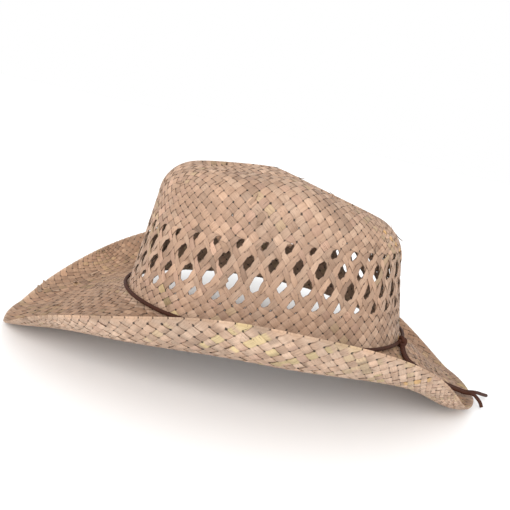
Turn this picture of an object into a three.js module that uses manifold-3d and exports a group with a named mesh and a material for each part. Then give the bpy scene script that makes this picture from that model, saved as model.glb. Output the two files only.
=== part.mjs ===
// Straw cowboy hat: a woven crown with four rows of vents, a woven brim with its sides curled up,
// and a leather lace tied round the foot of the crown. Millimetres, +Z up, the hat stands on the
// front and rear tips of its brim at z = 0. The front is towards -X, the knot is at the rear.
// Angles run round the hat in degrees: 0 is the rear, -90 the near side, 180 the front.
import * as THREE from 'three';
import { mergeVertices } from 'three/addons/utils/BufferGeometryUtils.js';
import Module from 'manifold-3d';

const wasm = await Module();
wasm.setup();

// Driving sizes of the straw
const WALL = 2; // thickness of the woven straw
const HEM = 2.8; // thickness at the rim, where the strands are folded back
const GAP = 0.3; // clearance between pieces that touch

// Foot of the crown, an oval of a 58 cm head
const foot = { halfLength: 101.2, halfWidth: 83.7, level: 34 };

// Top of the wall, where the shoulder starts to roll over; the top slopes down to the rear
const shoulder = { halfLength: 89.4, halfWidth: 76, centreX: -1.4, rollEnds: 22.5, rollSides: 20, reachSides: 31 };
const roof = { peak: 132.7, peakX: -9.9, slopeFront: 0.08, slopeRear: 0.23, soften: 12 };
const crease = { depth: 14, halfWidth: 26 };

// Rim of the brim: how far it reaches from the middle, and how high the sides curl
const rim = { front: 179.4, rear: 167, side: 150, sideX: -12.2, roundness: 1.86, curl: 62.5 };
const curlShape = { flatPart: 0.15, powerFront: 1.37, powerRear: 1.45 };
const droop = { ends: 4.2, sides: 14, fullness: 8 }; // sag of the brim between foot and rim

// Waves of the rim: where they are round the hat, how wide and how high
const rimWaves = [
  { at: -140, width: 18, lift: 3.8 },
  { at: -105, width: 18, lift: 4.1 },
  { at: -70, width: 18, lift: 1.9 },
  { at: -35, width: 14, lift: -12 },
  { at: 35, width: 18, lift: 2.1 },
  { at: 90, width: 30, lift: 1.4 },
  { at: 145, width: 18, lift: -1.7 },
];

// Vents: rows of holes between the paired strands, measured up the wall from the foot;
// a hole's width is a share of the local distance from one hole to the next
const VENTS_IN_ROW = 30;
const ventRows = [
  { climb: 26.5, share: 0.42, tall: 10.5, corners: 4 },
  { climb: 37.5, share: 0.47, tall: 14.5, corners: 6 },
  { climb: 51, share: 0.47, tall: 14.5, corners: 6 },
  { climb: 62, share: 0.4, tall: 9.5, corners: 4 },
];
const ventRise = { front: 10, rear: 3 }; // the rows run lower at the front and higher at the rear

// Leather lace, its knot and the two free ends that lie side by side down the brim
const lace = { radius: 1.3, sides: 8, ringSteps: 40 };
const knot = { at: -29, outward: 2.4, raise: 0.8, acrossHalf: 3, tallHalf: 3.8, wrapRadius: 2.3, lean: 0.5 };
const tailLine = [
  { at: -33.2, out: 0.14 },
  { at: -33.9, out: 0.18 },
  { at: -33.8, out: 0.22 },
  { at: -32.5, out: 0.265 },
  { at: -30.2, out: 0.33 },
  { at: -27.8, out: 0.4 },
  { at: -25.6, out: 0.47 },
  { at: -23.8, out: 0.54 },
  { at: -22.4, out: 0.63 },
  { at: -21, out: 0.72 },
  { at: -20, out: 0.81 },
  { at: -19.7, out: 0.89 },
];
const tailSpread = { atFoot: 1.65, atRim: 0.75 }; // degrees from the shared line to each tail
const tails = {
  cord_tail_upper: {
    side: 1,
    start: [[93.5, -44.8, 35.6]],
    end: [[155.5, -43.6, 9.9], [160.6, -41, 8.7], [165.6, -37.8, 6.8], [170.3, -34.2, 4.7], [174.6, -30.6, 3]],
  },
  cord_tail_lower: {
    side: -1,
    start: [[91, -47, 35]],
    end: [[152.6, -49.2, 10.4], [156.2, -50.9, 7.6], [158.4, -52.2, 4.6], [159.6, -53.3, 1.8]],
  },
};

// How finely the round forms are faceted
const facets = { crown: 2 * VENTS_IN_ROW, brim: 64, knotCore: [6, 5], knotWrap: [5, 7], tail: 16 };
const crownStages = [0, 1, 1.25, 1.5, 1.75, 2, 2.45];
const brimSteps = [0, 0.14, 0.3, 0.46, 0.62, 0.77, 0.89];
const hemSteps = [0.955, 1];

const SHORT = 1e-4; // step in radians or stages for slopes of a form
const UP = new THREE.Vector3(0, 0, 1);
const { lerp, degToRad } = THREE.MathUtils;
const spread = (value, power) => Math.sign(value) * Math.abs(value) ** power;

// Height of the crown's ridge line over a point x along the hat
function roofHeight(x) {
  const past = x - roof.peakX;
  const slope = past < 0 ? roof.slopeFront : roof.slopeRear;
  const away = Math.abs(past);
  return roof.peak - slope * away * (1 - Math.exp(-away / roof.soften));
}

// Middle of the crown's wall: stage 0 to 1 climbs the wall, 1 to 2 rolls over the shoulder,
// and 2 to 3 runs inwards over the creased top
function crownForm(angle, stage) {
  const c = Math.cos(angle);
  const s = Math.sin(angle);
  const roll = lerp(shoulder.rollEnds, shoulder.rollSides, s * s);
  const reach = lerp(shoulder.rollEnds, shoulder.reachSides, s * s);
  if (stage <= 1) {
    const x = shoulder.centreX + shoulder.halfLength * c;
    const low = new THREE.Vector3(foot.halfLength * c, foot.halfWidth * s, foot.level + WALL / 2 + 2 * GAP);
    return low.lerp(new THREE.Vector3(x, shoulder.halfWidth * s, roofHeight(x) - roll), stage);
  }
  if (stage <= 2) {
    const turn = (stage - 1) * Math.PI / 2;
    const inward = reach * (1 - Math.cos(turn));
    const x = shoulder.centreX + (shoulder.halfLength - inward) * c;
    return new THREE.Vector3(x, (shoulder.halfWidth - inward) * s, roofHeight(x) - roll + roll * Math.sin(turn));
  }
  const part = 3 - stage;
  const along = (shoulder.halfLength - reach) * part * c;
  const y = (shoulder.halfWidth - reach) * part * s;
  const ends = 1 - Math.min(1, (along / (shoulder.halfLength - shoulder.rollEnds)) ** 4);
  const dent = crease.depth * Math.exp(-((y / crease.halfWidth) ** 2)) * ends;
  const x = shoulder.centreX + along;
  return new THREE.Vector3(x, y, roofHeight(x) - dent);
}

// Edge of the brim
function rimForm(angle) {
  const c = Math.cos(angle);
  const s = Math.sin(angle);
  const power = lerp(curlShape.powerRear, curlShape.powerFront, (1 - c) / 2);
  const raised = Math.max(0, Math.abs(s) - curlShape.flatPart) / (1 - curlShape.flatPart);
  const degrees = THREE.MathUtils.radToDeg(Math.atan2(s, c));
  const waves = rimWaves.map((wave) => wave.lift * Math.exp(-(((degrees - wave.at) / wave.width) ** 2)));
  const height = waves.reduce((sum, lift) => sum + lift, rim.curl * raised ** power);
  const reach = c < 0 ? rim.front : rim.rear;
  return new THREE.Vector3(
    rim.sideX * s * s + reach * spread(c, 2 / rim.roundness),
    rim.side * spread(s, 2 / rim.roundness),
    WALL / 2 + Math.max(0, height),
  );
}

// Middle of the brim: out runs from 0 at the foot of the crown to 1 at the rim
function brimForm(angle, out) {
  const c = Math.cos(angle);
  const s = Math.sin(angle);
  const point = new THREE.Vector3(foot.halfLength * c, foot.halfWidth * s, foot.level).lerp(rimForm(angle), out);
  point.z -= lerp(droop.ends, droop.sides, s * s) * droop.fullness * out * out * (1 - out);
  point.z = Math.max(WALL / 2, point.z);
  return point;
}

// Outward normal of a form, from two short steps on it
function normalOf(form, angle, step) {
  const here = form(angle, step);
  const along = form(angle + SHORT, step).sub(here);
  const across = form(angle, step + SHORT).sub(here);
  return along.cross(across).normalize();
}

// Lathes a closed profile of rows { step, depth } and blocks every vertex onto a form
function blockedShell(form, rows, segments, outward) {
  const profile = rows.map((row, index) => new THREE.Vector2(row.onAxis ? 0 : foot.halfLength + index, index));
  const geometry = new THREE.LatheGeometry(profile, segments);
  const position = geometry.attributes.position;
  for (let i = 0; i <= segments; i += 1) {
    const angle = 2 * Math.PI * (i % segments + 0.5) / segments;
    rows.forEach((row, j) => {
      const point = form(row.onAxis ? 0 : angle, row.step);
      const normal = row.onAxis ? UP.clone() : normalOf(form, angle, row.step).multiplyScalar(outward);
      point.addScaledVector(normal, row.depth);
      point.z = Math.max(0, point.z);
      position.setXYZ(i * rows.length + j, point.x, point.y, point.z);
    });
  }
  return closed(geometry);
}

// Keeps only merged corner points, with the faces pointing outwards
function closed(geometry) {
  geometry.deleteAttribute('normal');
  geometry.deleteAttribute('uv');
  const merged = mergeVertices(geometry, 1e-3);
  const index = [];
  const old = merged.index.array;
  for (let k = 0; k < old.length; k += 3) {
    const [a, b, c] = [old[k], old[k + 1], old[k + 2]];
    if (a !== b && b !== c && c !== a) index.push(a, b, c);
  }
  merged.setIndex(signedVolume(merged.attributes.position, index) < 0 ? index.reverse() : index);
  return merged;
}

function signedVolume(position, index) {
  const [a, b, c] = [new THREE.Vector3(), new THREE.Vector3(), new THREE.Vector3()];
  let volume = 0;
  for (let k = 0; k < index.length; k += 3) {
    a.fromBufferAttribute(position, index[k]);
    b.fromBufferAttribute(position, index[k + 1]);
    c.fromBufferAttribute(position, index[k + 2]);
    volume += a.dot(b.cross(c)) / 6;
  }
  return volume;
}

function toSolid(geometry) {
  const vertProperties = Float32Array.from(geometry.attributes.position.array);
  const triVerts = Uint32Array.from(geometry.index.array);
  return new wasm.Manifold(new wasm.Mesh({ numProp: 3, vertProperties, triVerts }));
}

function toGeometry(solid) {
  const mesh = solid.getMesh();
  const geometry = new THREE.BufferGeometry();
  geometry.setAttribute('position', new THREE.BufferAttribute(mesh.vertProperties, 3));
  geometry.setIndex(new THREE.BufferAttribute(mesh.triVerts, 1));
  return geometry;
}

// Stage on the crown's form that lies a given climb along the surface from the foot
function stageAtClimb(angle, climb) {
  const step = 0.02;
  let travelled = 0;
  let before = crownForm(angle, 0);
  for (let stage = step; stage < 2; stage += step) {
    const here = crownForm(angle, stage);
    travelled += here.distanceTo(before);
    if (travelled >= climb) return stage;
    before = here;
  }
  return 2;
}

// Crown: a hollow shell open below, pierced by the vents
function makeCrown() {
  const outer = crownStages.map((step) => ({ step, depth: WALL / 2 }));
  const inner = crownStages.map((step) => ({ step, depth: -WALL / 2 }));
  const top = { step: 3, onAxis: true };
  const rows = [{ ...top, depth: WALL / 2 }, ...outer.reverse(), ...inner, { ...top, depth: -WALL / 2 }];
  const shell = toSolid(blockedShell(crownForm, rows, facets.crown, 1));
  const pitch = 2 * Math.PI / VENTS_IN_ROW;
  const cutters = ventRows.flatMap((row, rank) => Array.from({ length: VENTS_IN_ROW }, (_, k) => {
    const angle = (k + (rank % 2) / 2) * pitch;
    const rise = Math.cos(angle) < 0 ? ventRise.front : ventRise.rear;
    return ventCutter(angle, row.climb + rise * Math.cos(angle), row);
  }));
  return toGeometry(cutters.reduce((body, cutter) => body.subtract(cutter), shell));
}

// One vent: a hole of four or six corners, pointed at its top and bottom, square to the wall
function ventCutter(angle, climb, row) {
  const stage = stageAtClimb(angle, climb);
  const centre = crownForm(angle, stage);
  const normal = normalOf(crownForm, angle, stage);
  const upward = crownForm(angle, stage + SHORT).sub(centre).normalize();
  const pitch = crownForm(angle + SHORT, stage).distanceTo(centre) / SHORT * 2 * Math.PI / VENTS_IN_ROW;
  const prism = new THREE.CylinderGeometry(0.5, 0.5, 5 * WALL, row.corners);
  const flats = row.corners === 6 ? Math.cos(Math.PI / row.corners) : 1;
  prism.scale(row.share * pitch / flats, 1, row.tall);
  const frame = new THREE.Matrix4().makeBasis(new THREE.Vector3().crossVectors(normal, upward), normal, upward);
  prism.applyMatrix4(frame.setPosition(centre));
  return toSolid(closed(prism));
}

// Brim: a ring of straw from under the crown's wall to the hemmed rim
function makeBrim() {
  const side = (sign) => [
    ...brimSteps.map((step) => ({ step, depth: sign * WALL / 2 })),
    ...hemSteps.map((step) => ({ step, depth: sign * HEM / 2 })),
  ];
  const above = side(1);
  const rows = [...above, ...side(-1).reverse(), above[0]];
  return blockedShell(brimForm, rows, facets.brim, -1);
}

// Middle line of the lace, in the corner between the crown's wall and the brim
function laceLine(angle) {
  const clear = WALL / 2 + lace.radius + GAP;
  const point = new THREE.Vector3(foot.halfLength * Math.cos(angle), foot.halfWidth * Math.sin(angle), 0);
  const outward = new THREE.Vector3(Math.cos(angle) / foot.halfLength, Math.sin(angle) / foot.halfWidth, 0);
  point.addScaledVector(outward.normalize(), clear);
  const past = 2 * clear / brimForm(angle, 0).distanceTo(brimForm(angle, 1));
  point.z = Math.max(foot.level, brimForm(angle, past).z) + clear;
  return { point, outward };
}

// Lace round the crown: a lathed ring of round section, laid along its line
function makeLaceRing() {
  const { sides, ringSteps: segments } = lace;
  const profile = Array.from({ length: sides + 1 }, (_, j) => {
    const turn = 2 * Math.PI * (j % sides) / sides;
    return new THREE.Vector2(foot.halfLength + Math.cos(turn), Math.sin(turn));
  });
  const geometry = new THREE.LatheGeometry(profile, segments);
  const position = geometry.attributes.position;
  for (let i = 0; i <= segments; i += 1) {
    const { point, outward } = laceLine(2 * Math.PI * (i % segments) / segments);
    profile.forEach((_, j) => {
      const turn = 2 * Math.PI * (j % sides) / sides;
      const spot = point.clone().addScaledVector(outward, lace.radius * Math.cos(turn));
      position.setXYZ(i * profile.length + j, spot.x, spot.y, spot.z + lace.radius * Math.sin(turn));
    });
  }
  return toGeometry(toSolid(closed(geometry)).subtract(knotSolid(GAP)));
}

// Knot: a tight core with two wraps of lace crossing over it, grown by a clearance for cutting
function knotSolid(grow) {
  const { point, outward } = laceLine(degToRad(knot.at));
  const centre = point.addScaledVector(outward, knot.outward).addScaledVector(UP, knot.raise);
  const core = new THREE.SphereGeometry(1, ...facets.knotCore);
  core.scale(knot.acrossHalf + grow, knot.acrossHalf + grow, knot.tallHalf + grow);
  const wraps = [-1, 1].map((lean) => {
    const wrap = new THREE.TorusGeometry(knot.wrapRadius, lace.radius + grow, ...facets.knotWrap);
    wrap.rotateX(Math.PI / 2 + lean * knot.lean);
    return wrap;
  });
  const heading = Math.atan2(outward.y, outward.x);
  const solids = [core, ...wraps].map((shape) => {
    shape.rotateZ(heading);
    shape.translate(centre.x, centre.y, centre.z);
    return toSolid(closed(shape));
  });
  return solids[0].add(solids[1]).add(solids[2]);
}

// Route of one tail: from the knot, down the brim beside its twin, and over the rim
function tailRoute({ side, start, end }) {
  const onBrim = tailLine.map(({ at, out }) => {
    const angle = degToRad(at + side * lerp(tailSpread.atFoot, tailSpread.atRim, out));
    return brimForm(angle, out).addScaledVector(normalOf(brimForm, angle, out), -(HEM / 2 + GAP + lace.radius));
  });
  return [...start.map((p) => new THREE.Vector3(...p)), ...onBrim, ...end.map((p) => new THREE.Vector3(...p))];
}

function makeTail(tail) {
  const turns = Array.from({ length: lace.sides }, (_, j) => 2 * Math.PI * j / lace.sides);
  const corners = turns.map((turn) => new THREE.Vector2(lace.radius * Math.cos(turn), lace.radius * Math.sin(turn)));
  const curve = new THREE.CatmullRomCurve3(tailRoute(tail));
  const options = { extrudePath: curve, steps: facets.tail, bevelEnabled: false };
  const tube = closed(new THREE.ExtrudeGeometry(new THREE.Shape(corners), options));
  return toGeometry(toSolid(tube).subtract(knotSolid(GAP)));
}

const straw = new THREE.MeshStandardMaterial({ name: 'straw', color: 0xc7a68c, roughness: 0.75, metalness: 0 });
const leather = new THREE.MeshStandardMaterial({ name: 'lace_leather', color: 0x4a342a, roughness: 0.6, metalness: 0 });

const hat = new THREE.Group();

function addPiece(name, geometry, material) {
  const mesh = new THREE.Mesh(geometry, material);
  mesh.name = name;
  hat.add(mesh);
}

addPiece('crown', makeCrown(), straw);
addPiece('brim', makeBrim(), straw);
addPiece('hat_cord', makeLaceRing(), leather);
addPiece('cord_knot', toGeometry(knotSolid(0)), leather);
Object.entries(tails).forEach(([name, tail]) => addPiece(name, makeTail(tail), leather));

// The brim reaches further in front than behind, so the origin is moved to the middle of its length
const reach = new THREE.Box3().setFromObject(hat.getObjectByName('brim'));
hat.position.x = -(reach.min.x + reach.max.x) / 2;

export default hat;
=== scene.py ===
# Straw cowboy hat: woven crown and brim, leather lace, knot and free ends, on a pale floor.
# The hat's own sizes are in millimetres; everything in the scene is in metres.
# Angles run round the hat in degrees: 0 is the rear, -90 the near side, 180 the front.
import math
from types import SimpleNamespace as Sizes

import bpy
import numpy as np
from mathutils import Matrix, Vector


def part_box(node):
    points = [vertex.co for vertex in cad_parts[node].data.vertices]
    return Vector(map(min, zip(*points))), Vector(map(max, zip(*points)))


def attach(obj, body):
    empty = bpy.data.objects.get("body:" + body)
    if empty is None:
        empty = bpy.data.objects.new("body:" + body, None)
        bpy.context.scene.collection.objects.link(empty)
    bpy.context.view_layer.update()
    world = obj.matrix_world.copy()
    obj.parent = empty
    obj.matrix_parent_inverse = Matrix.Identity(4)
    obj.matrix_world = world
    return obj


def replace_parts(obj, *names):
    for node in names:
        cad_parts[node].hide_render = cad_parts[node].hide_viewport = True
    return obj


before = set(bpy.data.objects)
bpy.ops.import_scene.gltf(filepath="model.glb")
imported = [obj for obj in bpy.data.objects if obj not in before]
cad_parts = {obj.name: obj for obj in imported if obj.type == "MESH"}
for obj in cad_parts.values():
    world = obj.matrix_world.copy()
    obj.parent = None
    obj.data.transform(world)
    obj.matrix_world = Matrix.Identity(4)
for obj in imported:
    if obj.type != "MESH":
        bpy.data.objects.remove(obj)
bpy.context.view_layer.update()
bpy.ops.object.select_all(action="DESELECT")

MM = 0.001
TINY = 1e-9  # keeps a division off zero
CROWN_LOW, CROWN_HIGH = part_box("crown")
HAT_X = (CROWN_LOW.x + CROWN_HIGH.x) / 2  # middle of the crown's foot
chance = np.random.default_rng(7)

# Form of the hat, in millimetres. The foot is where the crown meets the brim, and the shoulder is the
# rounded edge of the crown's top.
FOOT = Sizes(half_length=101.2, half_width=83.7, level=34)
SHOULDER = Sizes(
    half_length=89.4, half_width=76, centre_x=-1.4, roll_ends=22.5, roll_sides=20, reach_sides=31,
)
ROOF = Sizes(peak=132.7, peak_x=-9.9, slope_front=0.08, slope_rear=0.23, soften=12)
CREASE = Sizes(depth=14, half_width=26, end_power=4)
RIM = Sizes(front=179.4, rear=167, side=150, side_x=-12.2, roundness=1.86, curl=62.5, rest=0.7)
CURL = Sizes(flat_part=0.15, power_front=1.37, power_rear=1.45)
DROOP = Sizes(ends=4.2, sides=14, fullness=8)
RIM_WAVES = [  # where round the rim and how wide, in degrees, and how high
    Sizes(at=-140, width=18, lift=3.8),
    Sizes(at=-105, width=18, lift=4.1),
    Sizes(at=-70, width=18, lift=1.9),
    Sizes(at=-35, width=14, lift=-12),
    Sizes(at=35, width=18, lift=2.1),
    Sizes(at=90, width=30, lift=1.4),
    Sizes(at=145, width=18, lift=-1.7),
]
BREAK = Sizes(wall_part=0.055, brim_part=0.06)  # how softly the wall turns into the brim

# The hat's surface lies over a flat pattern. Distance from the pattern's middle of the top of the wall,
# of the foot of the crown and of the rim, and half the length there of the middle line of the top:
WALL_TOP, FOOT_AT, RIM_AT, HALF_RIDGE = 2, 3, 4, 0.5

# The weave: rings of crossings counted from the middle of the crown's top
LONG_SIDE, SHORT_SIDE = 22, 14  # strands of the wall along each side and round each end
RIDGE = LONG_SIDE - SHORT_SIDE  # crossings in the middle line of the top, where the rings start
CORNER_RING = SHORT_SIDE  # the top widens by four strands a ring down to here
FOOT_RING = 38  # the wall keeps its 72 strands each way down to here
RIM_RING = 60  # the brim widens by four strands a ring out to the rim
CORNER_TURN = math.radians(35.4)  # where the first of the four corners is
ROUND_STEPS = 4 * 360  # steps in which the way round the foot is measured
CLIMB = Sizes(last_stage=1.9, steps=96)  # the way up is measured to nearly over the shoulder
STRAND = Sizes(  # thickness and heights in millimetres, widths as parts of a crossing
    thick=0.5, lift=0.43, wobble=0.06, brim_wobble=0.15, slack=0.007, uneven=0.03, pair_lap=-0.04,
)
ACROSS = np.array([-0.97, -0.37, 0.37, 0.97])  # points across a strand, from one edge to the other
CAMBER = np.array([0.66, 1.0, 1.0, 0.66])  # a strand is thinner at its edges
AROUND = 8  # points round a strand, and their order from either side
AS_IS, FLIPPED = np.arange(AROUND), np.array([3, 2, 1, 0, 7, 6, 5, 4])
LOOSE = Sizes(share=0.015, gap=0.05, hem_gap=0.01)  # corners of the weave that stand open
FOLD = Sizes(gap=0.42, out=0.45, back=-0.35, inset=0.03)  # strands turn back over the rim
VENTS = Sizes(  # they open between pairs of strands, in rows that lie lower in front and higher behind
    lowest_ring=FOOT_RING - 7, start=1.5, drop_front=10, rise_rear=3, shift_at_foot=0.6, shift_rings=6,
    lean=0.1, full_lean_from=0.3, paired_from=0.2, uneven=0.13,
)
# For each ring of crossings from the foot up the wall: its climb, and how far the vents open there
WALL_CLIMBS = [0, 3.8, 7.6, 11.4, 15.2, 19, 22.6, 26.5, 32, 37.5, 44.2, 51, 56.5, 62]
VENT_OPENINGS = np.array([0, 0, 0, 0, 0, 0.03, 0.12, 0.4, 0.36, 0.53, 0.4, 0.53, 0.34, 0.4])

WALL_FROM, BRIM_FROM, EDGE_FROM = CORNER_RING + 2, FOOT_RING - 1, RIM_RING - 7
WEAVE_PARTS = [  # pieces of the weave, each from one ring of crossings up to another
    Sizes(name="crown_top_weave", first=0, end=WALL_FROM, node="crown", slot="crown_straw"),
    Sizes(name="crown_wall_weave", first=WALL_FROM, end=BRIM_FROM, node="crown", slot="crown_straw"),
    Sizes(name="brim_weave", first=BRIM_FROM, end=EDGE_FROM, node="brim", slot="brim_straw"),
    Sizes(name="brim_edge", first=EDGE_FROM, end=RIM_RING, node="brim", slot="brim_straw"),
]
SMOOTH_ANGLE = math.radians(50)

# Straw ends that stand up from the weave: lengths and widths in crossings, heights in millimetres
ENDS = Sizes(
    share=0.02, steps=6, thick=0.35, start=0.25, above=0.35, length=(0.9, 1.7), rise=(0.7, 2.6),
    drift=0.35, width=(0.3, 0.7), taper=0.75, tone=0.9, tone_spread=0.1, straws=4,
    crown_until=FOOT_RING - 8, brim_from=FOOT_RING + 4,
)
PLAIN_ENDS = [(96, 1.08), (163, 3.97), (137, 3.97)]  # the clearest of them: degrees round, reach
PLAIN = Sizes(near=0.1, tone=0.6)  # how near their crossings lie to those places, and how dark they are

# Colours of the straws, how common each is, and how much more so out on the brim
STRAWS = [
    Sizes(colour=(0.382, 0.249, 0.166), share=6, at_brim=1),
    Sizes(colour=(0.356, 0.228, 0.150), share=4, at_brim=0.8),
    Sizes(colour=(0.402, 0.272, 0.186), share=4, at_brim=1.6),
    Sizes(colour=(0.316, 0.201, 0.133), share=2, at_brim=0.7),
    Sizes(colour=(0.375, 0.261, 0.158), share=1.5, at_brim=1.4),
    Sizes(colour=(0.392, 0.248, 0.170), share=1.2, at_brim=0.5),
    Sizes(colour=(0.395, 0.288, 0.150), share=0.04, at_brim=10),
    Sizes(colour=(0.520, 0.310, 0.128), share=0.035, at_brim=10),
]
PAINTED_EDGE_SHADE = Sizes(crown=1.0, brim_top=0.8, brim_under=0.5, rim=0.5)  # how much painted shade darkens the strands' edges, where they meet
# Painted light and shade on the straw: the crown's inside is painted darker, the brim's top a little
# darker and its underside paler
PAINTED_SIDE_LIGHT = np.array([  # painted light and shade: upper or outer side, and under or inner side, each on the crown and on the brim
    [(1.02, 1.01, 1.03), (0.8, 0.72, 0.66)],
    [(0.9, 0.9, 0.9), (1.2, 1.26, 1.35)],
])
TONES = Sizes(  # crossings in one straw, and how much straws and floats differ
    run=(4, 14), straw=0.05, crown_float=0.1, brim_float=0.12, brim_after=FOOT_RING + 2,
)

STAIN, SPECK = (0.2, 0.115, 0.07, 1), (0.11, 0.055, 0.03, 1)
LEATHER = Sizes(
    own=(0.047, 0.0145, 0.007, 1), rubbed=(0.086, 0.029, 0.015, 1), creased=(0.012, 0.006, 0.004, 1),
)
NOISE_SPAN = (0.3, 0.7)  # where most values of a noise lie

# The leather lace, in millimetres. It keeps clear of half the wall's thickness and a small gap.
LACE = Sizes(radius=1.3, half_wall=1, gap=0.3, degrees_apart=6)
KNOT = Sizes(
    at=-29, outward=1.9, raised=0.9, radius=2.1, swing=1.2, thick=1.4, narrow=0.7, points=24, turns=2,
    crossings=1.5,
)
TAIL_LINE = [  # degrees round the hat, part of the way out over the brim, height of its middle over it
    (-33.6, 0.14, 2.5), (-34.3, 0.18, 2.2), (-34.3, 0.22, 2.1), (-33.1, 0.265, 2.1), (-30.8, 0.33, 2.1),
    (-28.3, 0.4, 2.1), (-26, 0.47, 2.2), (-24.1, 0.54, 2.7), (-22.5, 0.63, 3.5), (-21, 0.72, 4.1),
    (-20, 0.81, 4.3), (-19.7, 0.89, 4.3),
]
TAIL_SPREAD = Sizes(at_foot=0.85, at_rim=0.75)  # degrees to either side
TAILS = {
    "tail_upper": Sizes(
        side=1, node="cord_tail_upper", length=0.099, start=[(92.8, -45.4, 35.6)],
        end=[
            (155.5, -43.6, 8.5), (160.6, -41, 7.4), (165.6, -37.8, 5.7), (170.3, -34.2, 3.9),
            (174.6, -30.6, 2.3),
        ],
    ),
    "tail_lower": Sizes(
        side=-1, node="cord_tail_lower", length=0.089, start=[(91, -47, 35)],
        end=[(152.6, -49.2, 9), (156.2, -50.9, 6.7), (158.4, -52.2, 4.3), (159.6, -53.3, 1.8)],
    ),
}

# The floor, in metres, lies just under the tips of the brim
FLOOR = Sizes(side=60, below=0.0002, colour=(0.9, 0.9, 0.9, 1), roughness=0.9)


def lerp(a, b, part):
    return a + (b - a) * part


# Height of the crown's ridge line over x along the hat
def roof_height(x):
    past = x - ROOF.peak_x
    slope = np.where(past < 0, ROOF.slope_front, ROOF.slope_rear)
    away = np.abs(past)
    return ROOF.peak - slope * away * (1 - np.exp(-away / ROOF.soften))


# Crown's surface: stage 0 to 1 climbs the wall, 1 to 2 rolls over the shoulder, 2 to 3 crosses the top
def crown_form(angle, stage):
    c, s = np.cos(angle), np.sin(angle)
    roll = lerp(SHOULDER.roll_ends, SHOULDER.roll_sides, s * s)
    reach = lerp(SHOULDER.roll_ends, SHOULDER.reach_sides, s * s)
    climb = np.clip(stage, 0, 1)
    turn = np.clip(stage - 1, 0, 1) * math.pi / 2
    part = np.clip(3 - stage, 0, 1)
    edge_x = SHOULDER.centre_x + SHOULDER.half_length * c
    edge_z = roof_height(edge_x) - roll
    wall = np.stack([
        lerp(FOOT.half_length * c, edge_x, climb),
        lerp(FOOT.half_width, SHOULDER.half_width, climb) * s,
        lerp(FOOT.level, edge_z, climb),
    ], -1)
    inward = reach * (1 - np.cos(turn))
    x = SHOULDER.centre_x + (SHOULDER.half_length - inward) * c
    y = (SHOULDER.half_width - inward) * s
    shoulder = np.stack([x, y, roof_height(x) - roll + roll * np.sin(turn)], -1)
    along = (SHOULDER.half_length - reach) * part * c
    y = (SHOULDER.half_width - reach) * part * s
    ends = 1 - np.minimum(1, (along / (SHOULDER.half_length - SHOULDER.roll_ends)) ** CREASE.end_power)
    dent = CREASE.depth * np.exp(-((y / CREASE.half_width) ** 2)) * ends
    x = SHOULDER.centre_x + along
    top = np.stack([x, y, roof_height(x) - dent], -1)
    stage = stage[..., None]
    return np.where(stage <= 1, wall, np.where(stage <= 2, shoulder, top))


# A power of the value's size that keeps its sign
def spread(value, power):
    return np.sign(value) * np.abs(value) ** power


# Edge of the brim
def rim_form(angle):
    c, s = np.cos(angle), np.sin(angle)
    power = lerp(CURL.power_rear, CURL.power_front, (1 - c) / 2)
    raised = np.maximum(0, np.abs(s) - CURL.flat_part) / (1 - CURL.flat_part)
    degrees = np.degrees(np.arctan2(s, c))
    waves = sum(wave.lift * np.exp(-(((degrees - wave.at) / wave.width) ** 2)) for wave in RIM_WAVES)
    reach = np.where(c < 0, RIM.front, RIM.rear)
    return np.stack([
        RIM.side_x * s * s + reach * spread(c, 2 / RIM.roundness),
        RIM.side * spread(s, 2 / RIM.roundness),
        RIM.rest + np.maximum(0, RIM.curl * raised ** power + waves),
    ], -1)


# Brim's surface: out runs from 0 at the foot of the crown to 1 at the rim
def brim_form(angle, out):
    c, s = np.cos(angle), np.sin(angle)
    foot = np.stack([FOOT.half_length * c, FOOT.half_width * s, FOOT.level + 0 * c], -1)
    point = lerp(foot, rim_form(angle), out[..., None])
    sag = lerp(DROOP.ends, DROOP.sides, s * s) * DROOP.fullness * out * out * (1 - out)
    point[..., 2] = np.maximum(RIM.rest, point[..., 2] - sag)
    return point


# Width of the brim, straight from its foot to its rim
def brim_width(angle):
    across = brim_form(angle, np.ones_like(angle)) - brim_form(angle, np.zeros_like(angle))
    return np.linalg.norm(across, axis=-1)


# Surface of the whole hat over the pattern
def hat_form(pattern):
    reach = np.hypot(pattern[..., 0], pattern[..., 1])
    angle = np.arctan2(pattern[..., 1], pattern[..., 0])
    crown = crown_form(angle, FOOT_AT - np.minimum(reach, FOOT_AT))
    brim = brim_form(angle, np.maximum(reach - FOOT_AT, 0))
    point = np.where((reach <= FOOT_AT)[..., None], crown, brim)
    span = BREAK.wall_part + BREAK.brim_part
    part = np.clip((reach - FOOT_AT + BREAK.wall_part) / span, 0, 1)[..., None]
    above = crown_form(angle, np.full_like(angle, BREAK.wall_part))
    below = brim_form(angle, np.full_like(angle, BREAK.brim_part))
    corner = crown_form(angle, np.zeros_like(angle))
    soft = (1 - part) ** 2 * above + 2 * part * (1 - part) * corner + part ** 2 * below
    return np.where((part > 0) & (part < 1), soft, point)


# Points of the surface over the pattern, and its two slopes there
def slopes(pattern, step=1e-4):
    here = hat_form(pattern)
    along_x = (hat_form(pattern + [step, 0]) - here) / step
    along_y = (hat_form(pattern + [0, step]) - here) / step
    return here, along_x, along_y


def normals(pattern):
    _, along_x, along_y = slopes(pattern)
    normal = np.cross(along_x, along_y)
    return normal / np.linalg.norm(normal, axis=-1, keepdims=True)


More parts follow.
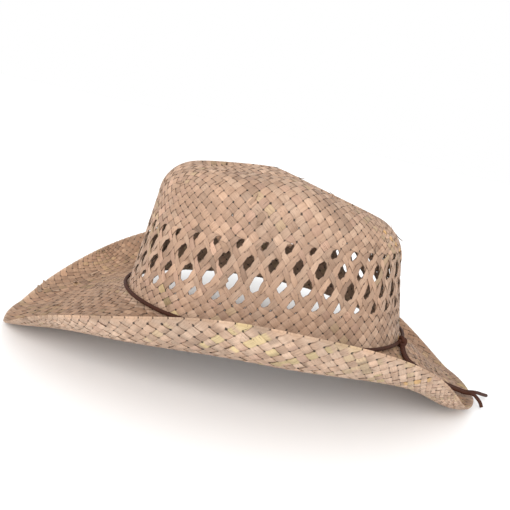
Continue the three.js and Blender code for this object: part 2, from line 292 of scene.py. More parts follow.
# Camera: matched to the photograph's view, rolled because the hat is shown tipped to the rear
def make_camera():
    azimuth, elevation, roll = (math.radians(v) for v in (-10.36, 12.57, 12.37))
    target = Vector((HAT_X, 0, 0.061))
    distance, focal, frame_side = 0.45462, 618.0, 510.0
    middle = Vector((273.86, 272.04))
    sensor = 36.0
    back = Vector((
        math.sin(azimuth) * math.cos(elevation),
        -math.cos(azimuth) * math.cos(elevation),
        math.sin(elevation),
    ))
    right = (-back).cross(Vector((0, 0, 1))).normalized()
    up = back.cross(right)
    turned_right = math.cos(roll) * right + math.sin(roll) * up
    turned_up = -math.sin(roll) * right + math.cos(roll) * up
    data = bpy.data.cameras.new("camera")
    data.sensor_width = sensor
    data.lens = focal / frame_side * sensor
    data.shift_x = (frame_side / 2 - middle.x) / frame_side
    data.shift_y = (middle.y - frame_side / 2) / frame_side
    data.clip_start, data.clip_end = 0.01, 100
    camera = bpy.data.objects.new("camera", data)
    bpy.context.scene.collection.objects.link(camera)
    place = Matrix((turned_right, turned_up, back)).transposed().to_4x4()
    place.translation = target + back * distance
    camera.matrix_world = place
    bpy.context.scene.camera = camera


# How many corners of the lattice lie along one of the four sides of a ring: sides 0 and 2 are long,
# 1 and 3 short
def side_size(ring, side):
    grown = min(ring, CORNER_RING) + max(0, ring - FOOT_RING)
    return grown + (RIDGE if side % 2 == 0 else 0)


def ring_size(ring):
    return RIDGE + 1 if ring == 0 else sum(side_size(ring, side) for side in range(4))


RING_START = np.cumsum([0] + [ring_size(ring) for ring in range(RIM_RING + 1)])


# Number of a lattice corner, from its ring, its side and its place along the side
def corner_at(ring, side, place):
    if ring == 0:  # the middle line is the same from both sides
        return (place, RIDGE, RIDGE - place, 0)[side]
    before = sum(side_size(ring, earlier) for earlier in range(side))
    return int(RING_START[ring]) + (before + place) % ring_size(ring)


# On the wall, every second ring of crossings is turned by half a strand against the corners' ring
def turned(ring):
    return (ring > CORNER_RING) & (ring < FOOT_RING) & ((ring - CORNER_RING) % 2 == 1)


# Cells of the weave, each one crossing, as inner corner, side, outer corner, side, anticlockwise
def weave_cells():
    cells = [(k, corner_at(1, 0, k + 1), k + 1, corner_at(1, 2, RIDGE - k)) for k in range(RIDGE)]
    for ring in range(RIM_RING - 1):
        narrow = CORNER_RING <= ring < FOOT_RING
        widening = ring < CORNER_RING - 1 or ring >= FOOT_RING - 1
        for side in range(4):
            for place in range(side_size(ring, side) + (0 if narrow else 1)):
                near = place - 1 if narrow and not turned(ring) else place
                cells.append((
                    corner_at(ring, side, place),
                    corner_at(ring + 1, side, near),
                    corner_at(ring + 2, side, place + 1 if widening else place),
                    corner_at(ring + 1, side, near + 1),
                ))
    return np.array(cells)


# The last half cells at the rim, as inner corner and the two rim corners
def rim_folds():
    ring = RIM_RING - 1
    return np.array([
        (corner_at(ring, side, p), corner_at(RIM_RING, side, p or -1), corner_at(RIM_RING, side, p + 1))
        for side in range(4) for p in range(side_size(ring, side))
    ])


# Distance along the pattern that lies a climb up the wall from the foot, or out on the brim if negative
def reach_at_climb(angle, climb):
    steps = np.linspace(0, CLIMB.last_stage, CLIMB.steps)
    line = crown_form(angle[:, None], np.broadcast_to(steps, (len(angle), len(steps))))
    travelled = np.concatenate([
        np.zeros((len(angle), 1)),
        np.cumsum(np.linalg.norm(np.diff(line, axis=1), axis=-1), axis=1),
    ], 1)
    stage = np.array([np.interp(c, t, steps) for c, t in zip(climb, travelled)])
    return np.where(climb >= 0, FOOT_AT - stage, FOOT_AT - climb / brim_width(angle))


# Angle at each share of the way round the foot of the wall, counted from the first corner
def round_foot(share):
    angle = CORNER_TURN + np.linspace(0, 2 * math.pi, ROUND_STEPS + 1)
    line = crown_form(angle, np.zeros_like(angle))
    walked = np.cumsum(np.linalg.norm(np.diff(line, axis=0), axis=-1))
    return np.interp(share, np.concatenate([[0], walked]) / walked[-1], angle)


# Where the corners of a ring first lie: the share of the way round from the first corner of the weave,
# and the place along the middle line of the top, from 1 at the rear to -1 at the front
def first_places(ring):
    if ring == 0:
        return np.zeros(RIDGE + 1), np.linspace(1, -1, RIDGE + 1)
    shares, ridge = [], []
    begin = 0
    for side, length in enumerate((LONG_SIDE, SHORT_SIDE, LONG_SIDE, SHORT_SIDE)):
        size = side_size(ring, side)
        part = (np.arange(size) + 0.5 * turned(ring)) / size
        shares.append((begin + part * length) / (2 * (LONG_SIDE + SHORT_SIDE)))
        ridge.append((1 - 2 * part, 0 * part - 1, 2 * part - 1, 0 * part + 1)[side])
        begin += length
    return np.concatenate(shares), np.concatenate(ridge)


# Lays the lattice on the hat: the wall's rings by their climb, the top and the brim by easing
def lay_lattice(cells):
    pattern = []
    ring_of = np.repeat(np.arange(RIM_RING + 1), [ring_size(ring) for ring in range(RIM_RING + 1)])
    top_ring = FOOT_RING - len(WALL_CLIMBS) + 1
    for ring in range(RIM_RING + 1):
        share, ridge = first_places(ring)
        angle = round_foot(share)
        from_foot = FOOT_RING - ring
        along = 0
        if from_foot < 0:
            reach = FOOT_AT - from_foot / (RIM_RING - FOOT_RING)
        elif from_foot < len(WALL_CLIMBS):
            shift = np.where(np.cos(angle) < 0, VENTS.drop_front, VENTS.rise_rear) * np.cos(angle)
            grown = lerp(VENTS.shift_at_foot, 1, min(1, from_foot / VENTS.shift_rings))
            climb = WALL_CLIMBS[from_foot] + shift * grown
            reach = reach_at_climb(angle, climb)
        else:
            reach = WALL_TOP * ring / top_ring
            along = HALF_RIDGE * (1 - ring / top_ring) * ridge
        pattern.append(np.stack([reach * np.cos(angle) + along, reach * np.sin(angle)], -1))
    fixed = (ring_of >= top_ring) & (ring_of <= FOOT_RING)
    return ease(np.concatenate(pattern), cells, fixed, ring_of == RIM_RING), ring_of


# Evens out the lattice on the surface. The cells' sides and diagonals pull, the long ones hardest, and
# the corners at the rim only slide along it.
def ease(pattern, cells, fixed, on_rim, rounds=500, evenness=3, step=0.2, diagonal_pull=0.5):
    sides = np.concatenate([cells[:, [i, (i + 1) % 4]] for i in range(4)])
    sides = np.unique(np.sort(sides, axis=1), axis=0)
    links = np.concatenate([sides, cells[:, [0, 2]], cells[:, [1, 3]]])
    diagonal = np.arange(len(links)) >= len(sides)
    size = np.where(diagonal, math.sqrt(2), 1)
    strength = np.where(diagonal, diagonal_pull, 1)
    for _ in range(rounds):
        here, along_x, along_y = slopes(pattern)
        span = here[links[:, 1]] - here[links[:, 0]]
        weight = strength * (np.linalg.norm(span, axis=-1) / size) ** evenness
        total, pull = np.zeros(len(pattern)), np.zeros_like(here)
        for own, sign in ((0, 1), (1, -1)):
            np.add.at(total, links[:, own], weight)
            np.add.at(pull, links[:, own], sign * span * weight[:, None])
        pull /= np.maximum(total, TINY)[:, None]
        pairs = ((along_x, along_x), (along_y, along_y), (along_x, along_y))
        xx, yy, xy = (np.sum(a * b, -1) for a, b in pairs)
        px, py = np.sum(pull * along_x, -1), np.sum(pull * along_y, -1)
        det = np.maximum(xx * yy - xy * xy, TINY)
        move = np.stack([(px * yy - py * xy) / det, (py * xx - px * xy) / det], -1) * step
        move[fixed] = 0
        pattern = pattern + move
        length = np.hypot(pattern[on_rim, 0], pattern[on_rim, 1])
        pattern[on_rim] *= (RIM_AT / length)[:, None]
    return pattern


# Eight points round a strand, from the four points across its middle
def ring_points(middle, upwards, thick):
    half = thick / 2 * CAMBER[None, :, None] * upwards[:, None]
    return np.concatenate([middle + half, (middle - half)[:, ::-1]], 1)


# Rings of points round strands at a height over the hat: spots are four pattern points across each
def strand_rings(spots, height, thick):
    normal = normals(spots.mean(1))
    return ring_points(hat_form(spots) + normal[:, None] * height[:, None, None], normal, thick)


class Weave:
    """All strands of the hat: their rings of points, the faces between them, colours and lengths."""

    def __init__(self):
        self.cells = weave_cells()
        self.folds = rim_folds()
        self.pattern, self.ring_of = lay_lattice(self.cells)
        cells = self.cells
        even = self.ring_of[cells[:, 0]] % 2 == 0
        corners = np.where(even[:, None], cells, np.roll(cells, -1, axis=1))
        c0, c1, c2, c3 = corners.T
        # The strand over a crossing runs from side c1 c2 to c0 c3, the one under it from c0 c1 to c3 c2
        self.starts = np.concatenate([np.stack([c1, c2], 1), np.stack([c0, c1], 1)])
        self.ends = np.concatenate([np.stack([c0, c3], 1), np.stack([c3, c2], 1)])
        self.over = np.repeat([True, False], len(cells))
        self.cell_of = np.tile(np.arange(len(cells)), 2)
        pairs = np.concatenate([self.starts, self.ends])
        self.edges, ids = np.unique(np.sort(pairs, axis=1), axis=0, return_inverse=True)
        ids = ids.ravel()
        half = len(self.starts)
        self.start_edge, self.end_edge = ids[:half], ids[half:]
        self.start_flip = self.starts[:, 0] > self.starts[:, 1]
        self.end_flip = self.ends[:, 0] > self.ends[:, 1]
        lookup = {tuple(e): i for i, e in enumerate(self.edges)}
        inner, low, high = self.folds.T
        self.fold_in = np.array([lookup[tuple(sorted(p))] for p in zip(inner, low)])
        self.fold_out = np.array([lookup[tuple(sorted(p))] for p in zip(high, inner)])

        self.trace()
        self.shape_strands()
        self.tint()

    # Follows every strand from crossing to crossing: its run, its place in the run and its direction
    def trace(self):
        at_edge = {}
        for i, (a, b) in enumerate(zip(self.start_edge, self.end_edge)):
            at_edge.setdefault(a, []).append((i, True))
            at_edge.setdefault(b, []).append((i, False))
        over_rim = dict(zip(self.fold_in, self.fold_out)) | dict(zip(self.fold_out, self.fold_in))
        count = len(self.starts)
        self.run = np.full(count, -1)
        self.place = np.zeros(count, int)
        self.forward = np.ones(count, bool)
        run = 0
        for first in np.concatenate([self.fold_in, self.fold_out]):
            edge, place = first, 0
            while True:
                ahead = [(i, start) for i, start in at_edge[edge] if self.run[i] < 0]
                if not ahead:
                    break
                i, start = ahead[0]
                self.run[i], self.place[i], self.forward[i] = run, place, start
                place += 1
                edge = self.end_edge[i] if start else self.start_edge[i]
                if edge in over_rim:
                    break
            run += place > 0

    # How far in from the two ends of each edge of the lattice its strand's own edges lie, as parts of it
    def insets(self):
        count = len(self.pattern)
        corner = np.abs(chance.normal(0, STRAND.slack, count))
        corner[chance.random(count) < LOOSE.share] += LOOSE.gap
        corner[self.ring_of == RIM_RING - 1] += LOOSE.hem_gap
        uneven = chance.normal(1, VENTS.uneven, count)
        inset = corner[self.edges]
        for side in (0, 1):
            own, other = self.edges[:, side], self.edges[:, 1 - side]
            opening, leaning, paired = self.beside_vent(own, other)
            inset[:, side] += np.where(opening > 0, opening * uneven[own] + leaning, 0)
            inset[:, side] = np.where(paired, STRAND.pair_lap, inset[:, side])
        run_of_edge = np.zeros(len(self.edges), int)
        run_of_edge[self.start_edge] = self.run
        run_of_edge[self.end_edge] = self.run
        # A strand may be a good deal wider than its neighbours, but only a little narrower
        narrowed = chance.normal(0, STRAND.uneven, self.run.max() + 1)
        narrowed = np.clip(narrowed, -2 * STRAND.uneven, STRAND.uneven / 3)
        return inset + narrowed[run_of_edge][:, None]

    # On the wall the strands run in pairs. For edges from one corner to another this gives how far the
    # first corner is opened, how much more or less by the way the strand leans, and whether two strands
    # of a pair meet there.
    def beside_vent(self, own, other):
        def line_numbers(corner):
            ring = self.ring_of[corner]
            turn = corner - RING_START[ring] + 0.5 * turned(ring) - VENTS.start
            depth = (VENTS.lowest_ring - ring) / 2
            return depth + turn, depth - turn, ring
        a, b, ring = line_numbers(own)
        a2, _, other_ring = line_numbers(other)
        wall = (ring > CORNER_RING + 1) & (ring <= FOOT_RING) & (other_ring <= FOOT_RING)
        strands = 2 * (LONG_SIDE + SHORT_SIDE)
        crosses_a = np.abs((a - a2 + strands / 2) % strands - strands / 2) > 0.5
        line = np.round(np.where(crosses_a, a, b)).astype(int)
        from_foot = np.clip(FOOT_RING - ring, 0, len(WALL_CLIMBS) - 1)
        opening = np.where(wall & (FOOT_RING - ring == from_foot), VENT_OPENINGS[from_foot], 0)
        lean = np.where(crosses_a, VENTS.lean, -VENTS.lean)
        leaning = lean * np.minimum(1, opening / VENTS.full_lean_from)
        open_line = line % 2 == 0
        return np.where(open_line, opening, 0), leaning, (opening > VENTS.paired_from) & ~open_line

    # Rings of points round every strand: at each edge of the lattice, inside each crossing, over the rim
    def shape_strands(self):
        inset = self.insets()
        a, b = self.pattern[self.edges[:, 0]], self.pattern[self.edges[:, 1]]
        at = lerp(inset[:, :1], 1 - inset[:, 1:], (ACROSS + 1) / 2)
        spots = lerp(a[:, None], b[:, None], at[:, :, None])
        wobble = np.where(self.ring_of[self.edges[:, 0]] > FOOT_RING, STRAND.brim_wobble, STRAND.wobble)
        edge_rings = strand_rings(spots, chance.normal(0, 1, len(self.edges)) * wobble, STRAND.thick)
        starts, ends = (
            np.where(flip[:, None, None], spots[edge][:, ::-1], spots[edge])
            for edge, flip in ((self.start_edge, self.start_flip), (self.end_edge, self.end_flip))
        )
        lift = np.where(self.over, 1, -1) * STRAND.lift
        inner = [strand_rings(lerp(starts, ends, part), lift, STRAND.thick) for part in (1 / 3, 2 / 3)]
        self.points = np.concatenate([edge_rings, *inner, self.fold_rings()])

    # Three rings of points where each strand turns back over the rim: over it, outside it and under it
    def fold_rings(self):
        _, low, high = self.folds.T
        a, b = self.pattern[high], self.pattern[low]
        at = lerp(FOLD.inset, 1 - FOLD.inset, (ACROSS + 1) / 2)
        spots = lerp(a[:, None], b[:, None], at[None, :, None])
        middle = spots.mean(1)
        normal = normals(middle)
        line = hat_form(spots)
        outward = np.cross(line[:, -1] - line[:, 0], normal)
        outward /= np.linalg.norm(outward, axis=-1, keepdims=True)
        outward *= np.sign(np.sum(outward[:, :2] * middle, -1))[:, None]
        side = np.where(self.over_at(self.fold_in), 1.0, -1.0)
        rings = []
        for out, height, upwards in (
            (FOLD.back, side * FOLD.gap, normal),
            (FOLD.out, 0 * side, outward * side[:, None]),
            (FOLD.back, -side * FOLD.gap, -normal),
        ):
            centre = line + (outward * out + normal * height[:, None])[:, None]
            rings.append(ring_points(centre, upwards, STRAND.thick))
        return np.concatenate(rings)

    # Whether the strand that crosses an edge of the rim was over its last crossing
    def over_at(self, edges):
        over = np.zeros(len(self.edges), bool)
        over[self.start_edge[self.over]] = True
        over[self.end_edge[self.over]] = True
        return over[edges]

    # Colour of every ring of points: each straw has one colour, and each float a little of its own; each
    # side gets painted light and shade, and the edges painted shade
    def tint(self):
        colours = np.array([straw.colour for straw in STRAWS])
        shares = {}
        for on_brim in (False, True):
            weights = np.array([straw.share * (straw.at_brim if on_brim else 1) for straw in STRAWS])
            shares[on_brim] = weights / weights.sum()
        tone = np.zeros((len(self.starts), 3))
        inner_ring = self.ring_of[self.cells[self.cell_of, 0]]
        left = 0
        for i in np.lexsort((self.place, self.run)):
            if self.place[i] == 0 or left <= 0:
                left = chance.integers(*TONES.run)
                on_brim = bool(inner_ring[i] > TONES.brim_after)
                colour = colours[chance.choice(len(colours), p=shares[on_brim])]
                straw = colour * chance.normal(1, TONES.straw)
            left -= 1
            tone[i] = straw * chance.normal(1, TONES.brim_float if on_brim else TONES.crown_float)
        float_of_edge = np.zeros(len(self.edges), int)
        overs = np.nonzero(self.over)[0]
        float_of_edge[self.start_edge[overs]] = overs
        float_of_edge[self.end_edge[overs]] = overs
        near, far = float_of_edge[self.start_edge], float_of_edge[self.end_edge]
        own = np.arange(len(self.starts))
        inner = [tone[np.where(self.over, own, near)], tone[np.where(self.over, own, far)]]
        fold_edge = np.where(self.over_at(self.fold_in), self.fold_in, self.fold_out)
        fold = tone[float_of_edge[fold_edge]]
        edge = tone[float_of_edge]
        edge[self.fold_in], edge[self.fold_out] = fold, fold
        colour = np.concatenate([edge, *inner, fold, fold, fold])
        rings = np.concatenate([self.ring_of[self.edges[:, 0]], inner_ring, inner_ring])
        on_brim = (rings >= FOOT_RING).astype(int)
        side = (AS_IS >= AROUND // 2).astype(int)
        # Painted light and shade: the crown's inside darker, the brim's top darker and its underside
        # paler
        painted_side_light = PAINTED_SIDE_LIGHT[side[None, :], on_brim[:, None]]
        painted_side_light = np.concatenate([painted_side_light, np.ones((len(fold) * 3, AROUND, 3))])
        self.colour = (colour[:, None] * painted_side_light).reshape(-1, 3)
        # Painted shade at the strands' edges, strongest on the crown and weakest under the brim and over
        # the rim
        painted_edge_shade = np.where(side[None, :] == 1, PAINTED_EDGE_SHADE.brim_under, PAINTED_EDGE_SHADE.brim_top)
        painted_edge_shade = np.where(on_brim[:, None] == 1, painted_edge_shade, PAINTED_EDGE_SHADE.crown)
        on_folds = np.full((len(fold) * 3, AROUND), PAINTED_EDGE_SHADE.rim)
        self.painted_edge_shade = np.concatenate([painted_edge_shade, on_folds]).ravel()

    # Faces of one piece: the crossings whose cells are in it, and the folds over the rim if it has them
    def piece_faces(self, cells, with_folds):
        count, edges = len(self.starts), len(self.edges)
        chosen = np.nonzero(np.isin(self.cell_of, cells))[0]
        loops = [
            ring_loops(self.start_edge[chosen], self.start_flip[chosen]),
            ring_loops(edges + chosen),
            ring_loops(edges + count + chosen),
            ring_loops(self.end_edge[chosen], self.end_flip[chosen]),
        ]
        faces = [band(one, two) for one, two in zip(loops, loops[1:])]
        forward, lane = self.forward[chosen], self.run[chosen]
        begin = self.place[chosen] + np.where(forward, 0, 1)
        step = np.where(forward, 1, -1) / 3
        lengths = [band_lengths(begin + k * step, step, forward, lane) for k in range(3)]
        used = np.concatenate([self.start_edge[chosen], self.end_edge[chosen]])
        if with_folds:
            fold_loops = self.fold_loops()
            faces += [band(one, two) for one, two in zip(fold_loops, fold_loops[1:])]
            zero, lanes = np.zeros(len(self.folds)), np.arange(len(self.folds))
            lengths += [band_lengths(zero + k / 4, zero + 1 / 4, zero == 0, lanes) for k in range(4)]
            used = np.concatenate([used, self.fold_in, self.fold_out])
        uses = np.bincount(used, minlength=edges)
        open_start = uses[self.start_edge[chosen]] == 1
        open_end = uses[self.end_edge[chosen]] == 1
        caps = [cap(loops[0][open_start])[:, ::-1], cap(loops[-1][open_end])]
        faces = np.concatenate(faces + caps)
        uv = np.concatenate(lengths + [np.zeros((len(c), 4, 2)) for c in caps])
        return faces, uv

    def fold_loops(self):
        count, base = len(self.folds), len(self.edges) + 2 * len(self.starts)
        inner, low, high = self.folds.T
        loops = [ring_loops(self.fold_in, inner > low)]
        loops += [ring_loops(base + k * count + np.arange(count)) for k in range(3)]
        loops.append(ring_loops(self.fold_out, high > inner)[:, ::-1])
        return loops


# Numbers of the points of rings, from the other side where they are flipped
def ring_loops(rings, flipped=False):
    flipped = np.broadcast_to(flipped, len(rings))
    return rings[:, None] * AROUND + np.where(flipped[:, None], FLIPPED, AS_IS)


# Four-sided faces between two loops of eight points
def band(one, two):
    following = np.roll(AS_IS, -1)
    return np.stack([one, one[:, following], two[:, following], two], -1).reshape(-1, 4)


# Place of each face corner along its strand and across it, each strand in a lane of its own
def band_lengths(start, step, forward, lane):
    across = np.array([0, 1 / 3, 2 / 3, 1, 1, 2 / 3, 1 / 3, 0])
    across = np.where(forward[:, None], across, 1 - across) + 2 * lane[:, None]
    following = np.roll(across, -1, axis=1)
    begin, end = start[:, None] + 0 * across, (start + step)[:, None] + 0 * across
    corners = [(across, begin), (following, begin), (following, end), (across, end)]
    return np.stack([np.stack(c, -1) for c in corners], 2).reshape(-1, 4, 2)


# Three four-sided faces that close the end of a strand
def cap(loops):
    return np.concatenate([loops[:, [0, 1, 6, 7]], loops[:, [1, 2, 5, 6]], loops[:, [2, 3, 4, 5]]])


# A piece of straw for a node of the hat, from points in millimetres and four-sided faces. uv holds the
# places of their corners along and across the strands.
def straw_piece(name, node, points, faces, uv, colour, painted_edge_shade, material):
    used, faces = np.unique(faces, return_inverse=True)
    faces = faces.reshape(-1, 4)
    points = points[used] * MM + [HAT_X, 0, 0]
    mesh = bpy.data.meshes.new(name)
    mesh.vertices.add(len(points))
    mesh.vertices.foreach_set("co", points.astype(np.float32).ravel())
    mesh.loops.add(faces.size)
    mesh.loops.foreach_set("vertex_index", faces.astype(np.int32).ravel())
    mesh.polygons.add(len(faces))
    mesh.polygons.foreach_set("loop_start", np.arange(0, faces.size, 4, dtype=np.int32))
    mesh.update(calc_edges=True)
    layer = mesh.uv_layers.new(name="strand")
    layer.data.foreach_set("uv", uv.astype(np.float32).ravel())
    straw = mesh.color_attributes.new(name="straw", type="FLOAT_COLOR", domain="POINT")
    rgba = np.concatenate([colour[used], np.ones((len(used), 1))], 1)
    straw.data.foreach_set("color", rgba.astype(np.float32).ravel())
    # How much painted shade darkens the strands' edges at each point
    edges = mesh.attributes.new(name="painted_edge_shade", type="FLOAT", domain="POINT")
    edges.data.foreach_set("value", painted_edge_shade[used].astype(np.float32))
    mesh.validate()
    mesh.materials.append(material)
    piece = bpy.data.objects.new(name, mesh)
    bpy.context.scene.collection.objects.link(piece)
    bpy.ops.object.select_all(action="DESELECT")
    piece.select_set(True)
    bpy.context.view_layer.objects.active = piece
    bpy.ops.object.shade_smooth_by_angle(angle=SMOOTH_ANGLE)
    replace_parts(piece, node)
    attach(piece, "root")


# A new material with its tree of nodes and its shader
def new_material(name):
    material = bpy.data.materials.new(name)
    material.use_nodes = True
    return material, material.node_tree, material.node_tree.nodes["Principled BSDF"]


# A shader node with its settings and inputs; an input is a value or another node's output
def add_node(tree, kind, inputs=None, **settings):
    node = tree.nodes.new(kind)
    for name, value in settings.items():
        setattr(node, name, value)
    for socket, value in (inputs or {}).items():
        if isinstance(value, bpy.types.NodeSocket):
            tree.links.new(value, node.inputs[socket])
        else:
            node.inputs[socket].default_value = value
    return node


def map_range(tree, value, low, high, to_low, to_high):
    inputs = {"Value": value, "From Min": low, "From Max": high, "To Min": to_low, "To Max": to_high}
    return add_node(tree, "ShaderNodeMapRange", inputs).outputs["Result"]


def maths(tree, operation, a, b):
    return add_node(tree, "ShaderNodeMath", {0: a, 1: b}, operation=operation).outputs[0]


def noise(tree, vector, scale, detail=2.0, roughness=0.5):
    inputs = {"Vector": vector, "Scale": scale, "Detail": detail, "Roughness": roughness}
    return add_node(tree, "ShaderNodeTexNoise", inputs).outputs["Fac"]


def stretched(tree, vector, scale):
    return add_node(tree, "ShaderNodeMapping", {"Vector": vector, "Scale": scale}).outputs["Vector"]


def mix_colour(tree, part, a, b, blend="MIX"):
    inputs = {0: part, 6: a, 7: b}
    return add_node(tree, "ShaderNodeMix", inputs, data_type="RGBA", blend_type=blend).outputs[2]


# Gives a shader its colour, roughness and relief
def set_surface(tree, shader, colour, roughness, height, gloss, relief, depth):
    tree.links.new(colour, shader.inputs["Base Color"])
    tree.links.new(roughness, shader.inputs["Roughness"])
    shader.inputs["Specular IOR Level"].default_value = gloss
    bump = add_node(tree, "ShaderNodeBump", {"Strength": relief, "Distance": depth, "Height": height})
    tree.links.new(bump.outputs["Normal"], shader.inputs["Normal"])


# Straw: the strand's own colour, fibres and streaks along it, painted shade at its edges and corners,
# stains, a satin surface
def straw_material():
    material, tree, shader = new_material("woven palm straw")
    own = add_node(tree, "ShaderNodeAttribute", attribute_name="straw").outputs["Color"]
    strand = add_node(tree, "ShaderNodeUVMap", uv_map="strand").outputs["UV"]
    place = add_node(tree, "ShaderNodeTexCoord").outputs["Object"]
    fibres = noise(tree, stretched(tree, strand, (24, 1.3, 1)), 1, 2, 0.6)
    streaks = noise(tree, stretched(tree, strand, (6, 0.35, 1)), 1, 3, 0.55)
    splits = noise(tree, stretched(tree, strand, (15, 0.55, 1)), 1, 1)
    shade_width_noise = noise(tree, place, 260, 2)

    # Painted shade: edges darkened more or less over the hat, where strands meet, and dark dots at the
    # corners of the floats, where the gaps between them lie
    on_strand = add_node(tree, "ShaderNodeSeparateXYZ", {0: strand}).outputs
    from_edge = maths(tree, "PINGPONG", on_strand["X"], 0.5)
    from_crossing = maths(tree, "PINGPONG", on_strand["Y"], 0.5)
    edge_width = map_range(tree, shade_width_noise, 0.35, 0.7, 0.02, 0.13)
    edge_tone = map_range(tree, noise(tree, place, 120, 2), 0.4, 0.6, 0.4, 0.85)
    edge = map_range(tree, from_edge, 0, edge_width, edge_tone, 1)
    painted_edge_part = add_node(tree, "ShaderNodeAttribute", attribute_name="painted_edge_shade").outputs["Fac"]
    edge = map_range(tree, painted_edge_part, 0, 1, 1, edge)
    # Painted shade: dark dots at the corners of the floats, where the gaps between strands would lie
    to_corner = maths(tree, "ADD", from_edge, from_crossing)
    dot_width = map_range(tree, shade_width_noise, 0.35, 0.7, 0.01, 0.14)
    corner = map_range(tree, to_corner, dot_width, 0.2, 0.1, 1)

    # Fibres, streaks, splits and patches make the strand's own colour paler and darker, and painted
    # shade darkens its edges and corners
    shade = map_range(tree, fibres, *NOISE_SPAN, 0.93, 1.05)
    for tone in (
        map_range(tree, streaks, *NOISE_SPAN, 0.86, 1.08),
        maths(tree, "MULTIPLY", edge, corner),
        map_range(tree, splits, 0.63, 0.7, 1, 0.62),
        map_range(tree, noise(tree, place, 28, 2), 0.35, 0.65, 0.93, 1.05),
    ):
        shade = maths(tree, "MULTIPLY", shade, tone)
    grey = add_node(tree, "ShaderNodeCombineColor", {0: shade, 1: shade, 2: shade}).outputs[0]
    colour = mix_colour(tree, 1.0, own, grey, "MULTIPLY")
    stained = map_range(tree, noise(tree, place, 95, 3), 0.6, 0.74, 0, 0.45)
    colour = mix_colour(tree, stained, colour, STAIN)
    speckled = map_range(tree, noise(tree, place, 700, 1), 0.7, 0.76, 0, 0.6)
    colour = mix_colour(tree, speckled, colour, SPECK)
    roughness = map_range(tree, streaks, *NOISE_SPAN, 0.68, 0.5)
    grain = maths(tree, "ADD", fibres, streaks)
    set_surface(tree, shader, colour, roughness, grain, gloss=0.35, relief=0.6, depth=0.00022)
    return material


# Dark brown leather: pores, fine creases and paler rubbed places
def leather_material():
    material, tree, shader = new_material("lace leather")
    place = add_node(tree, "ShaderNodeTexCoord").outputs["Object"]
    rubbed = map_range(tree, noise(tree, place, 160, 4, 0.65), 0.48, 0.72, 0, 0.6)
    creases = add_node(
        tree, "ShaderNodeTexVoronoi", {"Vector": place, "Scale": 1500.0}, feature="DISTANCE_TO_EDGE",
    ).outputs["Distance"]
    colour = mix_colour(tree, rubbed, LEATHER.own, LEATHER.rubbed)
    colour = mix_colour(tree, map_range(tree, creases, 0, 0.12, 0.35, 0), colour, LEATHER.creased)
    roughness = map_range(tree, rubbed, 0, 0.6, 0.6, 0.78)
    pores = maths(tree, "ADD", creases, noise(tree, place, 600, 3))
    set_surface(tree, shader, colour, roughness, pores, gloss=0.16, relief=0.5, depth=0.0003)
    return material


def add_weave():
    weave = Weave()
    points, colour, painted_edge_shade = weave.points.reshape(-1, 3), weave.colour, weave.painted_edge_shade
    straw = straw_material()
    inner_ring = weave.ring_of[weave.cells[:, 0]]
    for part in WEAVE_PARTS:
        cells = np.nonzero((inner_ring >= part.first) & (inner_ring < part.end))[0]
        faces, uv = weave.piece_faces(cells, part.end == RIM_RING)
        straw_piece(part.name, part.node, points, faces, uv, colour, painted_edge_shade, straw)
    on_crown = np.nonzero(inner_ring < ENDS.crown_until)[0]
    on_brim = np.nonzero(inner_ring >= ENDS.brim_from)[0]
    add_straw_ends("crown_straw_ends", "crown", weave, on_crown, straw)
    add_straw_ends("brim_straw_ends", "brim", weave, on_brim, straw)


# Rings of points of the straw ends, which leave from under crossings and bend away. The last ones, as
# many as plain says, are the clearest to see and run outwards.
def end_points(weave, chosen, plain):
    count = len(chosen)
    start, end = (weave.pattern[side[chosen]] for side in (weave.starts, weave.ends))
    backwards = chance.random(count) < 0.5
    runs_inwards = np.linalg.norm(start.mean(1), axis=-1) > np.linalg.norm(end.mean(1), axis=-1)
    backwards[count - plain:] = runs_inwards[count - plain:]
    first = np.where(backwards[:, None, None], end, start)
    last = np.where(backwards[:, None, None], start, end)
    middle, ahead = first.mean(1), last.mean(1) - first.mean(1)
    half = (first[:, 1] - first[:, 0]) / 2
    across = half * np.where(backwards, -1, 1)[:, None]  # so that the faces of every end point outwards
    length, rise = chance.uniform(*ENDS.length, count), chance.uniform(*ENDS.rise, count)
    drift, width = chance.normal(0, ENDS.drift, count), chance.uniform(*ENDS.width, count)
    rings = []
    for k in range(ENDS.steps + 1):
        part = k / ENDS.steps
        along = ahead * (ENDS.start + part * length)[:, None]
        centre = middle + along + half * (drift * part ** 2)[:, None]
        narrowed = width * (1 - ENDS.taper * part ** 3)
        spots = centre[:, None] + across[:, None] * ACROSS[None, :, None] * narrowed[:, None, None]
        rings.append(strand_rings(spots, STRAND.lift + ENDS.above + rise * part ** 2, ENDS.thick))
    return np.stack(rings), length


